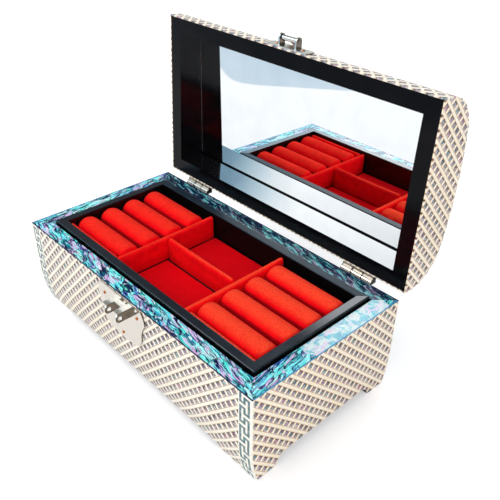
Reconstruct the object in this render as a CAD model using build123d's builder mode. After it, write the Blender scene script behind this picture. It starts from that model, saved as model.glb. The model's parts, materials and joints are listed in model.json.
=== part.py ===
from build123d import *
from math import acos, atan2, cos, degrees, hypot, radians, tan
import os

# Jewelry chest with a shell-inlaid body, a mirrored lid and a lift-out ring tray.
# Millimetres. +X runs along the chest, -Y is the front, +Z is up. The origin is on the
# floor, under the middle of the body. The chest rests with its lid open, so each piece
# of the lid is drawn as if the lid were shut and placed by planes turned about the hinge pin.

os.makedirs("parts", exist_ok=True)

# Body
length = 260.0             # outside, along X
depth = 136.0              # outside, along Y
body_height = 73.4         # floor to the top of the shell rim
wall = 13.0                # body wall with its inlay
inlay = 1.0                # shell veneer on the outside
rim_veneer = 1.2           # shell veneer on top of the walls
veneer_lift = 0.4          # lower edge of the inlay above the floor
tuck_start = 30.0          # height where front and back start to draw in
tuck_in = 4.7              # how far they draw in at the floor
front_foot = 33.0          # foot width along X
front_arch = 5.0           # height of the arch under front and back
end_foot = 17.0            # foot width along Y
end_arch = 8.5             # height of the arch under the ends
front_round = 14.0         # run of the curve where a front foot meets its arch
end_round = 8.0            # the same at the ends
bottom_rise = 9.5          # floor to the underside of the bottom board
bottom_board_thickness = 5.0
lining_thickness = 2.0
ledge_width = 8.0
ledge_height = 8.0

# Lid, drawn shut
rim_gap = 0.9              # between the rims of the shut chest
lid_wall = 12.6            # lid wall with its inlay
lid_height = 38.7          # lid rim to the crown
crown_radius = 243.0
shoulder_radius = 30.0
recess_depth = 22.7        # lid rim to the middle of the mirror's face
mirror_tilt = 1.8          # degrees; its front edge stands nearer the rim
mirror_glass = 2.0
mirror_card = 1.0
mirror_clearance = 0.2
lid_open = 92.9            # degrees from shut to the hinge stop

# Tray
tray_clearance = 1.5       # to the body walls, each side
tray_stand = 2.9           # how far its frame stands above the shell rim
tray_height = 26.3
tray_wall = 6.6
tray_edge = 0.7            # rounding of the frame's upper edges
tray_floor_thickness = 3.0
divider_x = 40.5           # middle of each cross divider
divider_thickness = 5.0
divider_drop = 2.0         # top of the dividers below the frame
velvet_clearance = 0.3
well_pad_thickness = 2.0
bed_thickness = 1.5
strip_thickness = 4.0      # velvet strip in front of the first roll
strip_drop = 2.6
roll_count = 4
roll_gap = 0.5             # between neighbouring rolls
roll_space = 4.2           # behind the last roll
roll_drop = 0.5            # crest of a roll below the frame
roll_end_cut = 2.4         # a roll's ends are eased by two chamfers

# Hinges
hinge_inset = 39.8         # middle of a hinge from the end of the chest
hinge_length = 28.0
hinge_back = 3.8           # pin behind the back of the chest
hinge_below = 0.9          # pin below the top of the shell rim
leaf_thickness = 1.2
leaf_height = 9.0
barrel_radius = 1.8
hinge_pin_radius = 0.8
running_clearance = 0.05
knuckle_gap = 0.15
heel_depth = 4.0
stop_gap = 0.02

# Lock on the body: a plate with a shelf, and on the shelf two lugs for a padlock
lock_x = -2.1              # the lock sits a little left of the middle
plate_thickness = 1.0
lock_plate_drop = 0.6      # top of the plate below the shell rim
lock_top_half = 24.3
lock_cusp_half = 28.4
lock_cusp_drop = 10.3
lock_waist_half = 23.0
lock_waist_drop = 26.0
lock_plate_height = 36.8
shelf_drop = 6.3           # top of the shelf below the top of the plate
shelf_half = 9.3
shelf_reach = 8.2          # in front of the plate
shelf_back = 2.0           # strip of the shelf behind its notch
notch_half = 4.2
lug_thickness = 1.2
lug_radius = 3.4
lug_reach = 6.6            # lug hole in front of the plate
lug_hole = 1.6
lug_drop = 10.7            # lug hole below the top of the plate

# Catch on the lid: a bracket with two ears, a pin, and a flap whose tongue drops in the notch
catch_x = 1.2
bracket_width = 40.0
bracket_height = 9.0
bracket_lift = 0.8         # bracket above the lid's rim
ear_thickness = 1.6
ear_radius = 2.8
ear_spacing = 16.0
catch_pin_reach = 5.4      # catch pin in front of the bracket
catch_pin_lift = 3.6       # catch pin above the bracket's lower edge
catch_pin_radius = 0.95
catch_barrel = 1.9
catch_width = 12.4
catch_thickness = 1.2
flap_shoulder = 5.6        # the flap is this long before it narrows to the tongue
tongue_width = 5.8
tongue_below = 3.5         # tongue below the top of the shelf
catch_pin_head = 1.5

# Nails
nail_shank = 1.1           # side of the square shank
nail_head = 1.3
nail_head_height = 0.6
nail_taper = 30.0
nail_length = 6.0
nail_clearance = 0.05
lock_nail_half = 19.8
lock_nail_drop = 8.2
lock_low_nail_drop = 32.2
hinge_nail_half = 9.0
bracket_nail_half = 12.6

# Sizes that follow from these
half_length = length / 2
half_depth = depth / 2
inner_x = half_length - wall
inner_y = half_depth - wall
lid_rim = body_height + rim_gap
lid_top = lid_rim + lid_height
lid_inner_x = half_length - lid_wall
lid_inner_y = half_depth - lid_wall
mirror_z = lid_rim + recess_depth
mirror_half_x = lid_inner_x - mirror_clearance
mirror_half_y = lid_inner_y - mirror_clearance
mirror_slope = tan(radians(mirror_tilt))
mirror_rise = mirror_half_y * mirror_slope
glass_back = mirror_z + mirror_glass / cos(radians(mirror_tilt))
crown_z = glass_back + mirror_card + mirror_rise
shoulder_y = half_depth - shoulder_radius
shoulder_z = lid_top - crown_radius + ((crown_radius - shoulder_radius) ** 2 - shoulder_y**2) ** 0.5
bottom_z = bottom_rise + bottom_board_thickness
hinge_x = half_length - hinge_inset
hinge_y = half_depth + hinge_back
hinge_z = body_height - hinge_below
tray_x = inner_x - tray_clearance
tray_y = inner_y - tray_clearance
tray_top = body_height + tray_stand
tray_z = tray_top - tray_height
well_x = tray_x - tray_wall
well_y = tray_y - tray_wall
floor_z = tray_z + tray_floor_thickness
divider_top = tray_top - divider_drop
plate_top = body_height - lock_plate_drop
shelf_z = plate_top - shelf_drop
lug_y = -half_depth - plate_thickness - lug_reach
lug_z = plate_top - lug_drop
bracket_z = lid_rim + bracket_lift
catch_y = -half_depth - plate_thickness - catch_pin_reach
catch_z = bracket_z + catch_pin_lift
tongue_tip = shelf_z - tongue_below

# How far the catch turns back, until its tongue lies on the shoulder of the lid
tip_y = catch_barrel - catch_thickness
tip_reach = hypot(tip_y, catch_z - tongue_tip)
pin_reach = hypot(shoulder_y + catch_y, catch_z - shoulder_z)
pin_angle = atan2(shoulder_z - catch_z, -catch_y - shoulder_y)
rest_radius = shoulder_radius + stop_gap
tip_cosine = (pin_reach**2 + tip_reach**2 - rest_radius**2) / (2 * pin_reach * tip_reach)
tip_angle = acos(tip_cosine) + pin_angle
catch_back = 270 - degrees(tip_angle - atan2(tip_y, catch_z - tongue_tip))

# The lid turned open about the hinge pin, and the catch turned back about its own pin
open_lid = Pos(0, hinge_y, hinge_z) * Rot(-lid_open, 0, 0) * Pos(0, -hinge_y, -hinge_z)
back_catch = Pos(0, catch_y, catch_z) * Rot(-catch_back, 0, 0) * Pos(0, -catch_y, -catch_z)


def on_lid(plane):
    """A plane of the shut lid, carried to where it is with the lid open."""
    return Plane(open_lid * plane.location)


def on_catch(plane):
    """A plane of the catch hanging down on the shut lid, carried to its place at rest."""
    return Plane(open_lid * back_catch * plane.location)


def finish(piece, name):
    """Label a sub-part and write its file."""
    piece.part.label = name
    export_step(piece.part, "parts/" + name + ".step")


def body_section(side, inset, top):
    """Half section of the body in Y and Z, from its middle plane to the front or back curve."""
    face_y = side * (half_depth - inset)
    foot_y = face_y - side * tuck_in
    with BuildSketch(Plane.XY) as section:
        with BuildLine():
            Polyline((face_y, tuck_start), (face_y, top), (0, top), (0, 0), (foot_y, 0))
            TangentArc((face_y, tuck_start), (foot_y, 0), tangent=(0, -1))
        make_face()
    return section.sketch


def arch_section(half_width, height, run):
    """Opening under a wall between two feet, drawn on below the floor as well."""
    near = half_width - 0.35 * run
    far = half_width - run
    with BuildSketch(Plane.XY) as section:
        with BuildLine():
            Polyline((-half_width, 0), (-half_width, -1), (half_width, -1), (half_width, 0))
            ThreePointArc((half_width, 0), (near, 0.7 * height), (far, height))
            Line((far, height), (-far, height))
            ThreePointArc((-far, height), (-near, 0.7 * height), (-half_width, 0))
        make_face()
    return section.sketch


def lid_section(inset):
    """Section of the lid in Y and Z: upright sides, round shoulders and a gentle crown."""
    half = half_depth - inset
    radius = crown_radius - inset
    corner = lid_top - crown_radius + (radius**2 - half**2) ** 0.5
    with BuildSketch(Plane.XY) as section:
        with BuildLine():
            Polyline((-half, corner), (-half, lid_rim), (half, lid_rim), (half, corner))
            ThreePointArc((half, corner), (0, lid_top - inset), (-half, corner))
        make_face()
        fillet(section.vertices().group_by(Axis.Y)[-1], shoulder_radius - inset)
    return section.sketch


def lug_section(centre, reach, radius, hole):
    """Round-ended lug in Y and Z, from a plate at +Y to a hole at the centre."""
    with BuildSketch(Plane.XY) as section:
        with Locations(centre):
            Circle(radius)
        with Locations((centre[0] + reach / 2, centre[1])):
            Rectangle(reach, 2 * radius)
        with Locations(centre):
            Circle(hole, mode=Mode.SUBTRACT)
    return section.sketch


def shield_section():
    """Lock plate below its straight top edge: a shoulder, a cusp, a waist and a full lower lobe."""
    cusp = (lock_cusp_half, -lock_cusp_drop)
    shoulder = (lock_top_half + 0.7 * (lock_cusp_half - lock_top_half), -0.44 * lock_cusp_drop)
    waist = (lock_waist_half, -lock_waist_drop)
    hollow = (lock_waist_half + 1.7, -0.65 * lock_waist_drop)
    lobe = (0.5 * lock_waist_half, -0.96 * lock_plate_height)
    lobe_side = (0.86 * lock_waist_half, -0.5 * (lock_waist_drop + 1.02 * lock_plate_height))
    with BuildSketch(Plane.XY) as section:
        with BuildLine():
            Line((0, 0), (lock_top_half, 0))
            ThreePointArc((lock_top_half, 0), shoulder, cusp)
            ThreePointArc(cusp, hollow, waist)
            ThreePointArc(waist, lobe_side, lobe)
            Line((0, -lock_plate_height), (0, 0))
            ThreePointArc(lobe, (0.26 * lock_waist_half, -0.99 * lock_plate_height), (0, -lock_plate_height))
        make_face()
        mirror(about=Plane.YZ)
    return section.sketch


def drill(plane, points, drill_depth):
    """Square holes for cut nails in the piece being built, going in behind the plane."""
    with BuildSketch(plane) as holes:
        with Locations(*points):
            Rectangle(nail_shank + 2 * nail_clearance, nail_shank + 2 * nail_clearance)
    extrude(holes.sketch, amount=-drill_depth, mode=Mode.SUBTRACT)


def nails(plane, points):
    """Cut nails with round heads on the plane and square shanks behind it."""
    with BuildSketch(plane) as shanks:
        with Locations(*points):
            Rectangle(nail_shank, nail_shank)
    extrude(shanks.sketch, amount=-nail_length)
    with BuildSketch(plane) as heads:
        with Locations(*points):
            Circle(nail_head)
    extrude(heads.sketch, amount=nail_head_height, taper=nail_taper)


# Front and back faces of the chest, both with their normals outward. Points on the back
# face are mirrored in X; all of them are symmetric.
front_plane = Plane.XZ.offset(half_depth)
back_plane = Plane(origin=(0, half_depth, 0), x_dir=(-1, 0, 0), z_dir=(0, 1, 0))

# Places of the nails in X and Z
lock_nails_at = [
    (lock_x - lock_nail_half, plate_top - lock_nail_drop),
    (lock_x + lock_nail_half, plate_top - lock_nail_drop),
    (lock_x, plate_top - lock_low_nail_drop),
]
bracket_nails_at = [
    (catch_x - bracket_nail_half, bracket_z + bracket_height / 2),
    (catch_x + bracket_nail_half, bracket_z + bracket_height / 2),
]
body_leaf_top = hinge_z - barrel_radius + leaf_thickness
lid_leaf_foot = hinge_z + barrel_radius - leaf_thickness
hinge_nails_x = [side * hinge_x + end * hinge_nail_half for side in (-1, 1) for end in (-1, 1)]
body_nails_at = [(x, body_leaf_top - leaf_height * 0.5) for x in hinge_nails_x]
lid_nails_at = [(x, lid_leaf_foot + leaf_height * 0.6) for x in hinge_nails_x]

# Body walls: front and back run from end to end, the end walls stand between them
panel_top = body_height - rim_veneer
front_arch_face = arch_section(half_length - front_foot, front_arch, front_round)
end_arch_face = arch_section(half_depth - tuck_in - end_foot, end_arch, end_round)

with BuildPart() as front_panel:
    with BuildSketch(Plane.YZ.offset(inlay - half_length)):
        add(body_section(-1, inlay, panel_top))
        Rectangle(2 * inner_y, 4 * panel_top, mode=Mode.SUBTRACT)
    extrude(amount=length - 2 * inlay)
    with BuildSketch(Plane.XZ.offset(inner_y)):
        add(front_arch_face)
    extrude(amount=wall, mode=Mode.SUBTRACT)
    drill(front_plane, lock_nails_at, nail_length)
finish(front_panel, "front_panel")

with BuildPart() as back_panel:
    with BuildSketch(Plane.YZ.offset(inlay - half_length)):
        add(body_section(1, inlay, panel_top))
        Rectangle(2 * inner_y, 4 * panel_top, mode=Mode.SUBTRACT)
    extrude(amount=length - 2 * inlay)
    with BuildSketch(Plane.XZ.offset(-inner_y)):
        add(front_arch_face)
    extrude(amount=-wall, mode=Mode.SUBTRACT)
    drill(back_plane, body_nails_at, nail_length)
finish(back_panel, "back_panel")

for side, name in ((-1, "left_end_panel"), (1, "right_end_panel")):
    with BuildPart() as end_panel:
        with BuildSketch(Plane.YZ.offset(side * inner_x)):
            with Locations((0, panel_top / 2)):
                Rectangle(2 * inner_y, panel_top)
            add(end_arch_face, mode=Mode.SUBTRACT)
        extrude(amount=side * (wall - inlay))
    finish(end_panel, name)

with BuildPart() as bottom_board:
    with BuildSketch(Plane.XY.offset(bottom_rise)):
        Rectangle(2 * inner_x, 2 * inner_y)
    extrude(amount=bottom_board_thickness)
finish(bottom_board, "bottom_board")

with BuildPart() as storage_lining:
    with BuildSketch(Plane.XY.offset(bottom_z)):
        Rectangle(2 * (inner_x - velvet_clearance), 2 * (inner_y - velvet_clearance))
    extrude(amount=lining_thickness)
    fillet(storage_lining.faces().sort_by(Axis.Z)[-1].edges(), lining_thickness / 2)
finish(storage_lining, "storage_lining")

for side, name in ((-1, "left_tray_ledge"), (1, "right_tray_ledge")):
    ledge_inside = side * (inner_x - ledge_width)
    with BuildPart() as tray_ledge:
        with BuildSketch(Plane.XZ.offset(-inner_y)):
            with BuildLine():
                Polyline(
                    (ledge_inside, tray_z),
                    (side * inner_x, tray_z),
                    (side * inner_x, tray_z - ledge_height),
                    (side * (inner_x - ledge_width / 2), tray_z - ledge_height),
                    (ledge_inside, tray_z - ledge_height / 2),
                    close=True,
                )
            make_face()
        extrude(amount=2 * inner_y)
    finish(tray_ledge, name)

# Shell inlay on the body
with BuildPart() as front_inlay:
    with BuildSketch(Plane.YZ.offset(-half_length)):
        add(body_section(-1, 0, body_height))
        add(body_section(-1, inlay, body_height), mode=Mode.SUBTRACT)
        Rectangle(2 * depth, 2 * veneer_lift, mode=Mode.SUBTRACT)
    extrude(amount=length)
    with BuildSketch(Plane.XZ.offset(inner_y)):
        add(front_arch_face)
    extrude(amount=wall, mode=Mode.SUBTRACT)
    drill(front_plane, lock_nails_at, nail_length)
finish(front_inlay, "front_inlay")

with BuildPart() as back_inlay:
    with BuildSketch(Plane.YZ.offset(-half_length)):
        add(body_section(1, 0, body_height))
        add(body_section(1, inlay, body_height), mode=Mode.SUBTRACT)
        Rectangle(2 * depth, 2 * veneer_lift, mode=Mode.SUBTRACT)
    extrude(amount=length)
    with BuildSketch(Plane.XZ.offset(-inner_y)):
        add(front_arch_face)
    extrude(amount=-wall, mode=Mode.SUBTRACT)
    drill(back_plane, body_nails_at, nail_length)
finish(back_inlay, "back_inlay")

for side, name in ((-1, "left_end_inlay"), (1, "right_end_inlay")):
    with BuildPart() as end_inlay:
        with BuildSketch(Plane.YZ.offset(side * (half_length - inlay))):
            add(body_section(-1, inlay, body_height))
            add(body_section(1, inlay, body_height))
            Rectangle(2 * depth, 2 * veneer_lift, mode=Mode.SUBTRACT)
            add(end_arch_face, mode=Mode.SUBTRACT)
        extrude(amount=side * inlay)
    finish(end_inlay, name)

with BuildPart() as rim_inlay:
    with BuildSketch(Plane.XY.offset(panel_top)):
        Rectangle(length - 2 * inlay, depth - 2 * inlay)
        Rectangle(2 * inner_x, 2 * inner_y, mode=Mode.SUBTRACT)
    extrude(amount=rim_veneer)
finish(rim_inlay, "rim_inlay")

# Tray frame, mitred at its corners
for side, name in ((-1, "tray_front_wall"), (1, "tray_back_wall")):
    with BuildPart() as tray_long_wall:
        with BuildSketch(Plane.XY.offset(tray_z)):
            with BuildLine():
                Polyline(
                    (-tray_x, side * tray_y),
                    (tray_x, side * tray_y),
                    (well_x, side * well_y),
                    (-well_x, side * well_y),
                    close=True,
                )
            make_face()
        extrude(amount=tray_height)
        long_edges = tray_long_wall.faces().sort_by(Axis.Z)[-1].edges().filter_by(Axis.X)
        fillet(long_edges, tray_edge)
    finish(tray_long_wall, name)

for side, name in ((-1, "tray_left_wall"), (1, "tray_right_wall")):
    with BuildPart() as tray_short_wall:
        with BuildSketch(Plane.XY.offset(tray_z)):
            with BuildLine():
                Polyline(
                    (side * tray_x, -tray_y),
                    (side * tray_x, tray_y),
                    (side * well_x, well_y),
                    (side * well_x, -well_y),
                    close=True,
                )
            make_face()
        extrude(amount=tray_height)
        short_edges = tray_short_wall.faces().sort_by(Axis.Z)[-1].edges().filter_by(Axis.Y)
        fillet(short_edges, tray_edge)
    finish(tray_short_wall, name)

with BuildPart() as tray_floor:
    with BuildSketch(Plane.XY.offset(tray_z)):
        Rectangle(2 * well_x, 2 * well_y)
    extrude(amount=tray_floor_thickness)
finish(tray_floor, "tray_floor")

# Velvet dividers with rounded tops
divider_height = divider_top - floor_z
divider_round = divider_thickness * 0.4
middle_half = divider_x - divider_thickness / 2 - velvet_clearance

for side, name in ((-1, "left_divider"), (1, "right_divider")):
    with BuildPart() as cross_divider:
        with BuildSketch(Plane.XY.offset(floor_z)):
            with Locations((side * divider_x, 0)):
                Rectangle(divider_thickness, 2 * (well_y - velvet_clearance))
        extrude(amount=divider_height)
        divider_edges = cross_divider.faces().sort_by(Axis.Z)[-1].edges().filter_by(Axis.Y)
        fillet(divider_edges, divider_round)
    finish(cross_divider, name)

with BuildPart() as centre_divider:
    with BuildSketch(Plane.XY.offset(floor_z)):
        Rectangle(2 * middle_half, divider_thickness)
    extrude(amount=divider_height)
    centre_edges = centre_divider.faces().sort_by(Axis.Z)[-1].edges().filter_by(Axis.X)
    fillet(centre_edges, divider_round)
finish(centre_divider, "centre_divider")

# Velvet pads in the two middle wells
pad_depth = well_y - divider_thickness / 2 - 2 * velvet_clearance
pad_y = (well_y + divider_thickness / 2) / 2

for side, name in ((-1, "front_well_pad"), (1, "back_well_pad")):
    with BuildPart() as well_pad:
        with BuildSketch(Plane.XY.offset(floor_z)):
            with Locations((0, side * pad_y)):
                Rectangle(2 * middle_half, pad_depth)
        extrude(amount=well_pad_thickness)
        fillet(well_pad.faces().sort_by(Axis.Z)[-1].edges(), well_pad_thickness / 2)
    finish(well_pad, name)

# Ring rolls on their beds; each bed turns up into a strip in front of the first roll
bed_near = divider_x + divider_thickness / 2 + velvet_clearance
bed_far = well_x - velvet_clearance
bed_front = -well_y + velvet_clearance
bed_top = floor_z + bed_thickness
strip_back = bed_front + strip_thickness
strip_top = tray_top - strip_drop
roll_room = -bed_front - strip_back - velvet_clearance - roll_space
roll_radius = (roll_room - (roll_count - 1) * roll_gap) / roll_count / 2
roll_pitch = 2 * roll_radius + roll_gap
first_roll_y = strip_back + velvet_clearance + roll_radius
roll_z = tray_top - roll_drop - roll_radius

for side, name in ((-1, "left_roll_bed"), (1, "right_roll_bed")):
    with BuildPart() as roll_bed:
        with BuildSketch(Plane.YZ.offset(side * bed_near)):
            with BuildLine():
                Polyline(
                    (bed_front, floor_z),
                    (-bed_front, floor_z),
                    (-bed_front, bed_top),
                    (strip_back, bed_top),
                    (strip_back, strip_top),
                    (bed_front, strip_top),
                    close=True,
                )
            make_face()
        extrude(amount=side * (bed_far - bed_near))
        strip_edges = roll_bed.faces().sort_by(Axis.Z)[-1].edges().filter_by(Axis.X)
        fillet(strip_edges, strip_thickness * 0.4)
    finish(roll_bed, name)

for side, word in ((-1, "left"), (1, "right")):
    for count in range(roll_count):
        roll_y = first_roll_y + count * roll_pitch
        with BuildPart() as ring_roll:
            with BuildSketch(Plane.YZ.offset(side * (bed_near + velvet_clearance))):
                with BuildLine():
                    Polyline(
                        (roll_y - roll_radius, roll_z),
                        (roll_y - roll_radius, bed_top),
                        (roll_y + roll_radius, bed_top),
                        (roll_y + roll_radius, roll_z),
                    )
                    ThreePointArc(
                        (roll_y + roll_radius, roll_z),
                        (roll_y, roll_z + roll_radius),
                        (roll_y - roll_radius, roll_z),
                    )
                make_face()
            extrude(amount=side * (bed_far - bed_near - 2 * velvet_clearance))
            end_edges = ring_roll.faces().filter_by(Axis.X).edges()
            chamfer(end_edges.filter_by(Axis.Y, reverse=True), roll_end_cut)
            end_planes = ring_roll.faces().filter_by(Axis.X).edges()
            bends = ring_roll.edges().filter_by(Axis.X, reverse=True) - end_planes
            bends = bends.filter_by(Axis.Y, reverse=True)
            chamfer(bends.filter_by(lambda edge: abs(edge.tangent_at(0.5).X) < 0.01), roll_end_cut / 3)
        finish(ring_roll, word + "_ring_roll_" + str(count + 1))

# Lid boards: rails at front and back between two end boards, under one crown
for side, name in ((-1, "lid_front_rail"), (1, "lid_back_rail")):
    with BuildPart() as lid_rail:
        with BuildSketch(on_lid(Plane.YZ.offset(-lid_inner_x))):
            add(lid_section(inlay))
            with Locations((side * (lid_inner_y + lid_wall / 2), (lid_rim + crown_z) / 2)):
                Rectangle(lid_wall, crown_z - lid_rim, mode=Mode.INTERSECT)
        extrude(amount=2 * lid_inner_x)
        if side < 0:
            drill(on_lid(front_plane), bracket_nails_at, nail_length)
        else:
            drill(on_lid(back_plane), lid_nails_at, nail_length)
    finish(lid_rail, name)

with BuildPart() as lid_crown:
    with BuildSketch(on_lid(Plane.YZ.offset(-lid_inner_x))):
        add(lid_section(inlay))
        with Locations((0, (crown_z + lid_top) / 2)):
            Rectangle(depth, lid_top - crown_z, mode=Mode.INTERSECT)
    extrude(amount=2 * lid_inner_x)
finish(lid_crown, "lid_crown")

for side, name in ((-1, "lid_left_end"), (1, "lid_right_end")):
    with BuildPart() as lid_end:
        with BuildSketch(on_lid(Plane.YZ.offset(side * lid_inner_x))):
            add(lid_section(inlay))
        extrude(amount=side * (lid_wall - inlay))
    finish(lid_end, name)

# Shell inlay on the lid: one sheet over front, crown and back, and one on each end
with BuildPart() as lid_inlay:
    with BuildSketch(on_lid(Plane.YZ.offset(-half_length))):
        add(lid_section(0))
        add(lid_section(inlay), mode=Mode.SUBTRACT)
    extrude(amount=length)
    drill(on_lid(front_plane), bracket_nails_at, nail_length)
    drill(on_lid(back_plane), lid_nails_at, nail_length)
finish(lid_inlay, "lid_inlay")

for side, name in ((-1, "lid_left_inlay"), (1, "lid_right_inlay")):
    with BuildPart() as lid_end_inlay:
        with BuildSketch(on_lid(Plane.YZ.offset(side * (half_length - inlay)))):
            add(lid_section(inlay))
        extrude(amount=side * inlay)
    finish(lid_end_inlay, name)

# Mirror in the lid. It leans a little, and a wedge of card fills the room behind it.
mirror_plane = Plane(origin=(0, 0, mirror_z), x_dir=(1, 0, 0), z_dir=(0, -mirror_slope, 1))

with BuildPart() as lid_mirror:
    with BuildSketch(on_lid(mirror_plane)):
        Rectangle(2 * mirror_half_x, 2 * mirror_half_y)
    extrude(amount=mirror_glass)
finish(lid_mirror, "lid_mirror")

with BuildPart() as mirror_backing:
    with BuildSketch(on_lid(Plane.YZ.offset(-mirror_half_x))):
        with BuildLine():
            Polyline(
                (-mirror_half_y, glass_back - mirror_rise),
                (mirror_half_y, glass_back + mirror_rise),
                (mirror_half_y, crown_z),
                (-mirror_half_y, crown_z),
                close=True,
            )
        make_face()
    extrude(amount=2 * mirror_half_x)
finish(mirror_backing, "mirror_backing")

# Hinges. Each body leaf has two knuckles, and behind each knuckle a heel that the open
# lid's leaf leans on. The lid leaf has the middle knuckle.
knuckle = (hinge_length - 2 * knuckle_gap) / 3
knuckle_hole = hinge_pin_radius + running_clearance
lean = radians(lid_open - 90)
heel_rise = (hinge_back - leaf_thickness) / cos(lean) - heel_depth * tan(lean) - stop_gap

for side, word in ((-1, "left"), (1, "right")):
    start = side * hinge_x - hinge_length / 2

    with BuildPart() as body_leaf:
        with BuildSketch(Plane.YZ.offset(start)):
            with Locations((half_depth + leaf_thickness / 2, body_leaf_top - leaf_height / 2)):
                Rectangle(leaf_thickness, leaf_height)
        extrude(amount=hinge_length)
        for first in (start, start + hinge_length - knuckle):
            with BuildSketch(Plane.YZ.offset(first)):
                with Locations((hinge_y, hinge_z)):
                    Circle(barrel_radius)
                with Locations((half_depth + hinge_back / 2, body_leaf_top - leaf_thickness / 2)):
                    Rectangle(hinge_back, leaf_thickness)
                with Locations((hinge_y + heel_depth / 2, hinge_z + (heel_rise - barrel_radius) / 2)):
                    Rectangle(heel_depth, heel_rise + barrel_radius)
                with Locations((hinge_y, hinge_z)):
                    Circle(knuckle_hole, mode=Mode.SUBTRACT)
            extrude(amount=knuckle)
        drill(back_plane.offset(leaf_thickness), body_nails_at, leaf_thickness)
    finish(body_leaf, word + "_hinge_body_leaf")

    with BuildPart() as lid_leaf:
        with BuildSketch(on_lid(Plane.YZ.offset(start))):
            with Locations((half_depth + leaf_thickness / 2, lid_leaf_foot + leaf_height / 2)):
                Rectangle(leaf_thickness, leaf_height)
        extrude(amount=hinge_length)
        with BuildSketch(on_lid(Plane.YZ.offset(start + knuckle + knuckle_gap))):
            with Locations((hinge_y, hinge_z)):
                Circle(barrel_radius)
            with Locations((half_depth + hinge_back / 2, lid_leaf_foot + leaf_thickness / 2)):
                Rectangle(hinge_back, leaf_thickness)
            with Locations((hinge_y, hinge_z)):
                Circle(knuckle_hole, mode=Mode.SUBTRACT)
        extrude(amount=knuckle)
        drill(on_lid(back_plane.offset(leaf_thickness)), lid_nails_at, leaf_thickness)
    finish(lid_leaf, word + "_hinge_lid_leaf")

    with BuildPart() as hinge_pin:
        with BuildSketch(Plane.YZ.offset(start)):
            with Locations((hinge_y, hinge_z)):
                Circle(hinge_pin_radius)
        extrude(amount=hinge_length)
    finish(hinge_pin, word + "_hinge_pin")

with BuildPart() as body_hinge_nails:
    nails(back_plane.offset(leaf_thickness), body_nails_at)
finish(body_hinge_nails, "body_hinge_nails")

with BuildPart() as lid_hinge_nails:
    nails(on_lid(back_plane.offset(leaf_thickness)), lid_nails_at)
finish(lid_hinge_nails, "lid_hinge_nails")

# Lock plate: a shield with two cusps
with BuildPart() as lock_plate:
    with BuildSketch(front_plane):
        with Locations((lock_x, plate_top)):
            add(shield_section())
    extrude(amount=plate_thickness)
    drill(front_plane.offset(plate_thickness), lock_nails_at, plate_thickness)
finish(lock_plate, "lock_plate")

# Shelf on the plate, open to the front for the tongue, with a lug turned down at the right
# edge of each of its arms
plate_y = -half_depth - plate_thickness

with BuildPart() as lock_lugs:
    with BuildSketch(Plane.XY.offset(shelf_z - lug_thickness)):
        with Locations((lock_x, plate_y - shelf_reach / 2)):
            Rectangle(2 * shelf_half, shelf_reach)
        with Locations((lock_x, plate_y - shelf_back - shelf_reach / 2)):
            Rectangle(2 * notch_half, shelf_reach, mode=Mode.SUBTRACT)
    extrude(amount=lug_thickness)
    for lug_end in (lock_x - notch_half, lock_x + shelf_half):
        with BuildSketch(Plane.YZ.offset(lug_end - lug_thickness)):
            add(lug_section((lug_y, lug_z), lug_reach, lug_radius, lug_hole))
            with Locations((lug_y + 0.65 * lug_reach, (lug_z + shelf_z) / 2)):
                Rectangle(0.7 * lug_reach, shelf_z - lug_z)
        extrude(amount=lug_thickness)
finish(lock_lugs, "lock_lugs")

with BuildPart() as lock_nails:
    nails(front_plane.offset(plate_thickness), lock_nails_at)
finish(lock_nails, "lock_nails")

# Catch on the lid: a bracket with two ears, a pin and a flap
ear_hole = catch_pin_radius + running_clearance
pin_half = ear_spacing / 2 + ear_thickness / 2

with BuildPart() as catch_bracket:
    with BuildSketch(on_lid(front_plane)):
        with Locations((catch_x, bracket_z + bracket_height / 2)):
            RectangleRounded(bracket_width, bracket_height, bracket_height * 0.3)
    extrude(amount=plate_thickness)
    for side in (-1, 1):
        ear_start = catch_x + side * ear_spacing / 2 - ear_thickness / 2
        with BuildSketch(on_lid(Plane.YZ.offset(ear_start))):
            add(lug_section((catch_y, catch_z), catch_pin_reach, ear_radius, ear_hole))
        extrude(amount=ear_thickness)
    drill(on_lid(front_plane.offset(plate_thickness)), bracket_nails_at, plate_thickness)
finish(catch_bracket, "catch_bracket")

with BuildPart() as bracket_nails:
    nails(on_lid(front_plane.offset(plate_thickness)), bracket_nails_at)
finish(bracket_nails, "bracket_nails")

with BuildPart() as catch_pin:
    with BuildSketch(on_lid(Plane.YZ.offset(catch_x - pin_half - nail_head_height))):
        with Locations((catch_y, catch_z)):
            Circle(catch_pin_radius)
    extrude(amount=2 * (pin_half + nail_head_height))
    with BuildSketch(on_lid(Plane.YZ.offset(catch_x - pin_half - nail_head_height))):
        with Locations((catch_y, catch_z)):
            Circle(catch_pin_head)
    extrude(amount=nail_head_height)
    with BuildSketch(on_lid(Plane.YZ.offset(catch_x + pin_half))):
        with Locations((catch_y, catch_z)):
            Circle(catch_pin_head)
    extrude(amount=nail_head_height)
finish(catch_pin, "catch_pin")

flap_middle = catch_y + catch_barrel - catch_thickness / 2

with BuildPart() as catch_flap:
    with BuildSketch(on_catch(Plane.YZ.offset(catch_x - catch_width / 2))):
        with Locations((catch_y, catch_z)):
            Circle(catch_barrel)
        with Locations((flap_middle, catch_z - flap_shoulder / 2)):
            Rectangle(catch_thickness, flap_shoulder)
        with Locations((catch_y, catch_z)):
            Circle(ear_hole, mode=Mode.SUBTRACT)
    extrude(amount=catch_width)
    with BuildSketch(on_catch(Plane.YZ.offset(lock_x - tongue_width / 2))):
        with Locations((flap_middle, (catch_z - flap_shoulder + tongue_tip) / 2)):
            Rectangle(catch_thickness, catch_z - flap_shoulder - tongue_tip)
    extrude(amount=tongue_width)
finish(catch_flap, "catch_flap")
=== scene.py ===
import json
from math import asin, cos, pi, radians, sin, sqrt

import bpy
from mathutils import Matrix, Vector


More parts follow.
